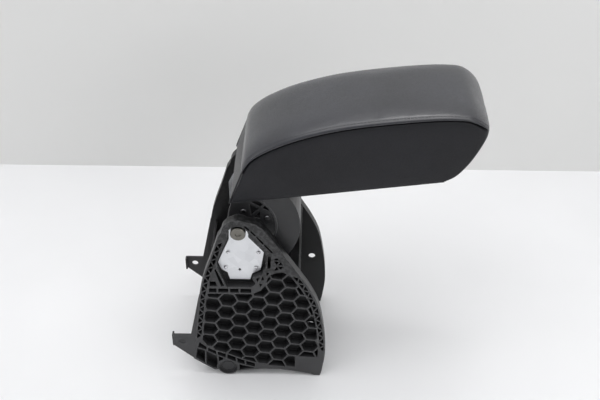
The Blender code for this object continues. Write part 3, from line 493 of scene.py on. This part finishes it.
def offset_outline(line, distance):
    """A closed loop moved inwards along the mean of its neighbouring normals."""
    area = 0.5 * np.sum(line[:, 0] * np.roll(line[:, 1], -1) - np.roll(line[:, 0], -1) * line[:, 1])
    before = line - np.roll(line, 1, axis=0)
    after = np.roll(line, -1, axis=0) - line
    before /= np.linalg.norm(before, axis=1)[:, None]
    after /= np.linalg.norm(after, axis=1)[:, None]
    n = np.stack([-(before + after)[:, 1], (before + after)[:, 0]], axis=1) * np.sign(area)
    n /= np.linalg.norm(n, axis=1)[:, None]
    cosine = np.abs(np.sum(n * np.stack([-before[:, 1], before[:, 0]], axis=1), axis=1))
    return line + n * distance / np.maximum(cosine, 0.5)[:, None]


def distance_to(loop, points):
    a = loop
    b = np.roll(loop, -1, axis=0)
    ab = b - a
    out = np.full(len(points), 1e9)
    for p, q, d in zip(a, b, ab):
        t = np.clip(((points - p) @ d) / (d @ d), 0, 1)
        out = np.minimum(out, np.linalg.norm(points - (p + t[:, None] * d), axis=1))
    return out


def inside(loop, points):
    x, z = points[:, 0], points[:, 1]
    found = np.zeros(len(points), bool)
    for (x1, z1), (x2, z2) in zip(loop, np.roll(loop, -1, axis=0)):
        crosses = (z1 > z) != (z2 > z)
        with np.errstate(divide="ignore", invalid="ignore"):
            found ^= crosses & (x < (x2 - x1) * (z - z1) / (z2 - z1) + x1)
    return found


OUTLINE_STEP = 3.2


def side_loop():
    """The side panel's outline: just under the seam, round the nose, along the underside and up the rear."""
    drop = SEAM_DROP + (CHAMFER_DROP - SEAM_DROP) * on_chamfer()
    top = TOP_LINE - TOP_NORMAL * drop[:, None]
    corner = np.array([(top[-1, 0] + 0.3, UNDERSIDE + 1.6), (top[-1, 0] - 1.0, UNDERSIDE + 0.1),
                       (PAD_REAR + 3.4, UNDERSIDE), (PAD_REAR + 1.2, UNDERSIDE + 0.8),
                       (PAD_REAR + 0.9, UNDERSIDE + 2.6)])
    rear = np.array([SEAM[0]]) + (1.6, -1.4)
    outline = np.vstack([top, corner, rear])
    dense = []
    for p, q in zip(outline, np.roll(outline, -1, axis=0)):
        count = max(int(np.linalg.norm(q - p) // OUTLINE_STEP), 1)
        dense += [p + (q - p) * k / count for k in range(count)]
    return np.array(dense)


# A side panel's height over its seam by the distance in from its edge, and where its points lie
ROLL = ((0.0, -3.0), (0.35, -1.9), (0.9, -1.0), (1.7, -0.45), (3.0, -0.1), (5.5, 0.15), (14.0, 0.55),
        (34.0, 0.9))
EDGE_RINGS = [distance for distance, _ in ROLL[1:5]]
SIDE_WAVE = 0.16
FIELD_MARGIN = 5.0
FIELD_STEP = 5.0
FIELD_ALONG = (-2, 304)
FIELD_UP = (36, 122)
PANEL_DEPTH = 4.2


def side_leather(name, side, look):
    """A tight panel whose edges roll into the seams, a little fuller in the middle."""
    outline = side_loop()
    rings = [offset_outline(outline, d) for d in EDGE_RINGS]
    us, ws = np.meshgrid(np.arange(*FIELD_ALONG, FIELD_STEP), np.arange(*FIELD_UP, FIELD_STEP))
    field = np.stack([us.ravel(), ws.ravel()], axis=1)
    field = field[inside(outline, field)]
    field = field[distance_to(outline, field) > FIELD_MARGIN]
    flat = np.vstack([outline, *rings, field])
    count = len(outline)
    edges = [(i, (i + 1) % count) for i in range(count)]
    verts, _, faces, _, _, _ = delaunay_2d_cdt([Vector(p) for p in flat], edges, [list(range(count))], 1, 1e-5)
    flat = np.array([tuple(v) for v in verts])
    depth = distance_to(outline, flat)
    rise = np.interp(depth, [a for a, b in ROLL], [b for a, b in ROLL])
    waves = np.array([SIDE_WAVE * noise.noise(Vector((u / 40, w / 30, 7.0 * side))) for u, w in flat])
    rise += waves * np.minimum(depth / 10, 1)
    front = np.stack([flat[:, 0], side * (half_width(flat[:, 0]) + rise), flat[:, 1]], axis=1)
    rim = [i for i in range(len(flat)) if depth[i] < 1e-4]
    order = {}
    for i in rim:
        order[int(np.argmin(np.linalg.norm(outline - flat[i], axis=1)))] = i
    ring = [order[k] for k in sorted(order)]
    start = len(front)
    back = [(flat[i, 0], side * (half_width(flat[i, 0]) - PANEL_DEPTH), flat[i, 1]) for i in ring]
    faces = [tuple(f) for f in faces]
    for k in range(len(ring)):
        j = (k + 1) % len(ring)
        faces.append((ring[k], ring[j], start + j, start + k))
    faces.append(tuple(range(start, start + len(ring))))
    return solid(name, pad_to_world(np.vstack([front, back])), faces, look, sharp=70)


def piping(name, side, look, radius=0.95, inset=1.35):
    """The folded edge that fills the seam along the side panel's rear and underside."""
    high, low = np.array(SEAM[0]) + (1.4, 0.2), np.array([PAD_REAR + 0.8, UNDERSIDE + 2.8])
    path = [high, (high + low) / 2, low, (PAD_REAR + 1.4, UNDERSIDE + 1.2),
            (PAD_REAR + 3.6, UNDERSIDE + 0.7), (60.0, UNDERSIDE + 0.7),
            (NOSE_DOWN[-1][0] - 3.0, UNDERSIDE + 0.8)]
    line = spline([tuple(p) for p in path], 2.0)
    turn = normals(line)
    around = 8
    points = []
    for (u, w), (nu, nw) in zip(line, turn):
        for k in range(around):
            angle = 2 * math.pi * k / around
            out = radius * math.cos(angle)
            points.append((u + nu * out, side * (PAD_HALF - inset + radius * math.sin(angle)), w + nw * out))
    return solid(name, pad_to_world(points), tube_faces(len(line), around), look)


# The rear panel's half width, and its height over its seams by the distance in from its edge
REAR_HALF = 61.2
REAR_ROLL = ((0, -2.4), (0.5, -1.0), (1.2, -0.25), (2.4, 0.25), (5, 0.6), (14, 1.3), (30, 1.9))


def rear_leather(look):
    """The sloping panel at the rear, rolled into the seams on all four sides."""
    low = np.array([PAD_REAR, UNDERSIDE + 0.6])
    high = np.array(SEAM[0])
    along = (high - low) / np.linalg.norm(high - low)
    out = np.array([-along[1], along[0]])
    reach = np.linalg.norm(high - low)
    downs = np.array([0, 0.5, 1.2, 2.2, 4, 8, 14, 21, 28, 34, 38.5,
                      reach - 3.4, reach - 2.4, reach - 1.8, reach - 1.5])
    acrosses = np.array([0, 0.4, 1.0, 1.9, 3.2, 6, 11, 18, 27, 38, 50, REAR_HALF])
    acrosses = np.concatenate([acrosses - REAR_HALF, (REAR_HALF - acrosses)[::-1][1:]])
    points = []
    for d in downs:
        for a in acrosses:
            near = min(REAR_HALF - abs(a), d, downs[-1] - d)
            rise = np.interp(near, [p for p, q in REAR_ROLL], [q for p, q in REAR_ROLL])
            p = low + along * d + out * rise
            points.append((p[0], a, p[1]))
    faces = grid_faces(len(downs), len(acrosses))
    return thicken(solid("rear_leather", pad_to_world(points), faces, look))


def capsule(centre, along, out, length, width, height):
    """Points and faces of one stitch: a short thread that dips into the leather at both ends."""
    side = np.cross(along, out)
    rings, around = 7, 8
    points = []
    for k in range(rings):
        t = -1 + 2 * k / (rings - 1)
        girth = math.sqrt(max(1 - abs(t) ** 3.2, 0.02))
        lift = height * (0.55 * (1 - t * t) - 0.25)
        for m in range(around):
            angle = 2 * math.pi * m / around
            reach = width / 2 * girth
            points.append(centre + along * (t * length / 2) + out * (lift + math.sin(angle) * reach)
                          + side * (math.cos(angle) * reach))
    return points, tube_faces(rings, around)


def stitches(name, sites, look, length=2.7, width=0.62, height=0.5):
    """sites: centre, direction and outward normal of each stitch, in the pad's own axes."""
    points, faces = [], []
    for centre, along, out in sites:
        p, f = capsule(centre, along, out, length, width, height)
        faces += [tuple(i + len(points) for i in face) for face in f]
        points += p
    return solid(name, pad_to_world(points), faces, look)


# What the stitching leaves free at the seam's two ends, and the reach over which the leather's slope is taken
SEAM_ENDS = (7.0, 12.0)
SLOPE_REACH = 0.6


def seam_sites(side, pitch=4.0):
    """Stitch places along a side seam, on the leather's surface at the stitch channel."""
    crown = crown_heights()
    sites = []
    for travelled in np.arange(SEAM_ENDS[0], TOP_LENGTH[-1] - SEAM_ENDS[1], pitch):
        base = np.array([np.interp(travelled, TOP_LENGTH, TOP_LINE[:, i]) for i in (0, 1)])
        normal = np.array([np.interp(travelled, TOP_LENGTH, TOP_NORMAL[:, i]) for i in (0, 1)])
        normal /= np.linalg.norm(normal)
        height = np.interp(travelled, TOP_LENGTH, crown)
        distances = STITCH_INSET + np.array([-1, 0, 1]) * SLOPE_REACH
        rises = section_height(distances, height)
        half = float(half_width(base[0]) - CHAMFER_TUCK * np.interp(travelled, TOP_LENGTH, on_chamfer()))
        slope = (rises[2] - rises[0]) / (2 * SLOPE_REACH)
        centre = np.array([base[0] + normal[0] * rises[1], side * (half - STITCH_INSET * half / PAD_HALF),
                           base[1] + normal[1] * rises[1]])
        out = np.array([normal[0], side * slope, normal[1]])
        out /= np.linalg.norm(out)
        sites.append((centre, np.array([normal[1], 0.0, -normal[0]]), out))
    return sites


# Base


EAR_WEB_PLACE = (-0.17927, -0.0783, 0.0625)
EAR_WEB_RADIUS = 0.0047
EAR_WEB_THICKNESS = 0.0008


def ear_web(look):
    """The thin web that closes the near ear's hole."""
    around = 32
    x, y, z = EAR_WEB_PLACE
    turns = [2 * math.pi * k / around for k in range(around)]
    points = [(x + EAR_WEB_RADIUS * math.cos(a), y + half, z + EAR_WEB_RADIUS * math.sin(a))
              for half in (-EAR_WEB_THICKNESS / 2, EAR_WEB_THICKNESS / 2) for a in turns]
    return solid("ear_web", points, tube_faces(2, around), look, sharp=40)


def give(node, look):
    """Puts a material on a node of the frame, in place of what it has."""
    mesh = NODES[node].data
    mesh.materials.clear()
    mesh.materials.append(look)


# Studio

STUDIO_HALF = 6.0
WALL_PLACE = 0.405
WALL_HEIGHT = 3.0
SKY = (0.80, 0.82, 0.85, 1)
SKY_STRENGTH = 0.36

# Each lamp's name, place, aim, size and power
LAMPS = (
    ("overhead", (0.1, -0.25, 2.3), (0, 0, 0.2), (2.6, 1.8), 36.5),
    ("left_fill", (-2.2, -0.9, 1.5), (0, 0, 0.2), (1.4, 1.2), 9.5),
    ("front_fill", (1.7, -1.9, 1.5), (0.2, 0, 0.1), (1.8, 1.2), 16),
    ("edge_light", (0.17, 0.22, 1.7), (0.12, -0.06, 0.37), (0.45, 0.16), 2.4),
)

# The photograph's camera: place in metres, pan and pitch in degrees, lens in millimetres
CAMERA_PLACE = (-0.0059, -0.9597, 0.9734)
CAMERA_PAN = 1.17
CAMERA_PITCH = 37.43
CAMERA_LENS = 57.0


def floor_material():
    look = Look("studio_floor")
    cloud = look.ramp(look.noise(3.0, 3.0, 0.5), (0.3, 0.0), (0.7, 1.0))
    return look.finish(Base_Color=look.mix(cloud, (0.80, 0.80, 0.81), (0.84, 0.84, 0.85)), Roughness=0.55)


def wall_material():
    """A wall that is seen from the front only, so that it hides nothing from behind."""
    look = Look("studio_wall")
    tone = look.mix(look.noise(1.4, 3.0, 0.5), (0.775, 0.773, 0.76), (0.85, 0.848, 0.835))
    look.finish(Base_Color=tone, Roughness=0.8)
    choice = look.put("ShaderNodeMixShader")
    look.plug(choice, "0", look.put("ShaderNodeNewGeometry").outputs["Backfacing"])
    look.plug(choice, "1", look.shader)
    look.plug(choice, "2", look.put("ShaderNodeBsdfTransparent"))
    look.plug(look.tree.nodes["Material Output"], "Surface", choice)
    return look.material


def backdrop(name, corners, material):
    """A four-cornered sheet of the studio."""
    mesh = bpy.data.meshes.new(name)
    mesh.from_pydata(corners, [], [(0, 1, 2, 3)])
    mesh.materials.append(material)
    obj = bpy.data.objects.new(name, mesh)
    bpy.context.scene.collection.objects.link(obj)


def place_towards(made, place, direction):
    """Links a lamp or camera at a place, looking along a direction."""
    made.location = place
    made.rotation_mode = "QUATERNION"
    made.rotation_quaternion = direction.to_track_quat("-Z", "Y")
    bpy.context.scene.collection.objects.link(made)


def lamp(name, place, aim, size, power):
    light = bpy.data.lights.new(name, "AREA")
    light.shape = "RECTANGLE"
    light.size, light.size_y = size
    light.energy = power
    place_towards(bpy.data.objects.new(name, light), place, Vector(aim) - Vector(place))


def studio():
    """Floor, wall, lamps and the world's light."""
    wide = STUDIO_HALF
    backdrop("floor", [(-wide, -wide, 0), (wide, -wide, 0), (wide, wide, 0), (-wide, wide, 0)],
             floor_material())
    backdrop("wall", [(x, WALL_PLACE, z) for x, z in ((-wide, 0), (wide, 0), (wide, WALL_HEIGHT),
                                                      (-wide, WALL_HEIGHT))], wall_material())
    for settings in LAMPS:
        lamp(*settings)
    world = bpy.data.worlds.new("studio")
    bpy.context.scene.world = world
    world.use_nodes = True
    background = world.node_tree.nodes["Background"]
    background.inputs["Color"].default_value = SKY
    background.inputs["Strength"].default_value = SKY_STRENGTH


def camera():
    """The camera as it was solved from the photograph."""
    data = bpy.data.cameras.new("photo_camera")
    data.sensor_width = 36.0
    data.lens = CAMERA_LENS
    made = bpy.data.objects.new("photo_camera", data)
    pan, pitch = math.radians(CAMERA_PAN), math.radians(CAMERA_PITCH)
    level = math.cos(pitch)
    looking = Vector((-math.sin(pan) * level, math.cos(pan) * level, -math.sin(pitch)))
    place_towards(made, CAMERA_PLACE, looking)
    bpy.context.scene.camera = made


# The whole scene


def dress_pad():
    """The pad's leather, piping and stitches."""
    top_look = leather("top_leather", (0.016, 0.016, 0.021), (0.030, 0.031, 0.040), 0.38, 0.55)
    # The side leather is a darker copy of the top leather: painted shade for panels that face away from the
    # lamps.
    shaded_side_look = leather("side_leather", (0.006, 0.006, 0.008), (0.013, 0.013, 0.017), 0.44, shine=0.34)
    piping_look = leather("piping_leather", (0.014, 0.014, 0.016), (0.024, 0.024, 0.027), 0.5, shine=0.4)
    # The rear leather is a lighter copy of the top leather: painted light for the panel that faces up towards
    # the lamps.
    lit_rear_look = leather("rear_leather", (0.075, 0.075, 0.078), (0.095, 0.095, 0.098), 0.48)
    thread_look = thread("seam_thread", (0.030, 0.030, 0.034))

    top = top_leather(top_look)
    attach(top, "pad")
    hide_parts("top_cover", "foam_core")
    rear = rear_leather(lit_rear_look)
    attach(rear, "pad")
    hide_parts("rear_panel")
    for name, side in (("right", -1), ("left", 1)):
        panel = side_leather(name + "_side_leather", side, shaded_side_look)
        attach(panel, "pad")
        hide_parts(name + "_side_panel")
        edge = piping(name + "_piping", side, piping_look)
        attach(edge, "pad")
        sewn = stitches(name + "_seam_stitches", seam_sites(side), thread_look)
        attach(sewn, "pad")


def dress_nodes():
    """Materials of the plastic and steel nodes, and the ear's web."""
    # edge is the tone of each plastic's painted highlight along its edges
    ribbed = moulded_plastic("ribbed_plastic", (0.030, 0.030, 0.032), (0.048, 0.048, 0.050), 0.42, 0.0006,
                             pockets=True, edge=0.14)
    plain = moulded_plastic("smooth_plastic", (0.015, 0.015, 0.016), (0.024, 0.024, 0.026), 0.40, 0.0009,
                            edge=0.22)
    zinc = steel("zinc_plate", (0.66, 0.67, 0.69), (0.82, 0.83, 0.85), 0.38, 0.0004)
    bright = steel("bright_steel", (0.62, 0.63, 0.65), (0.80, 0.80, 0.82), 0.24, 0.0003)
    screw_look = steel("screw_steel", (0.09, 0.09, 0.095), (0.16, 0.16, 0.165), 0.30, 0.0003)
    pin_look = steel("pin_steel", (0.13, 0.125, 0.11), (0.23, 0.22, 0.195), 0.34, 0.0004)
    tube_look = moulded_plastic("black_tube", (0.018, 0.018, 0.019), (0.030, 0.030, 0.031), 0.35, 0.0004)
    washer_look = moulded_plastic("washer_plastic", (0.12, 0.11, 0.09), (0.17, 0.16, 0.13), 0.5, 0.0003)
    looks = {
        "cheek": ribbed,
        "cross_wall": plain,
        "hinge_arm": plain,
        "carrier_tray": plain,
        "hinge_drum": plain,
        "hinge_plate": zinc,
        "backing_plate": zinc,
        "wave_washer": zinc,
        "rivet": bright,
        "arm_screw": screw_look,
        "pivot_pin": pin_look,
        "cross_tube": tube_look,
        "friction_washer": washer_look,
    }
    for name in NODES:
        for kind, look in looks.items():
            if kind in name:
                give(name, look)

    web = ear_web(plain)
    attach(web, "base")


dress_pad()
dress_nodes()
studio()
camera()
bpy.context.scene.view_settings.view_transform = "Standard"
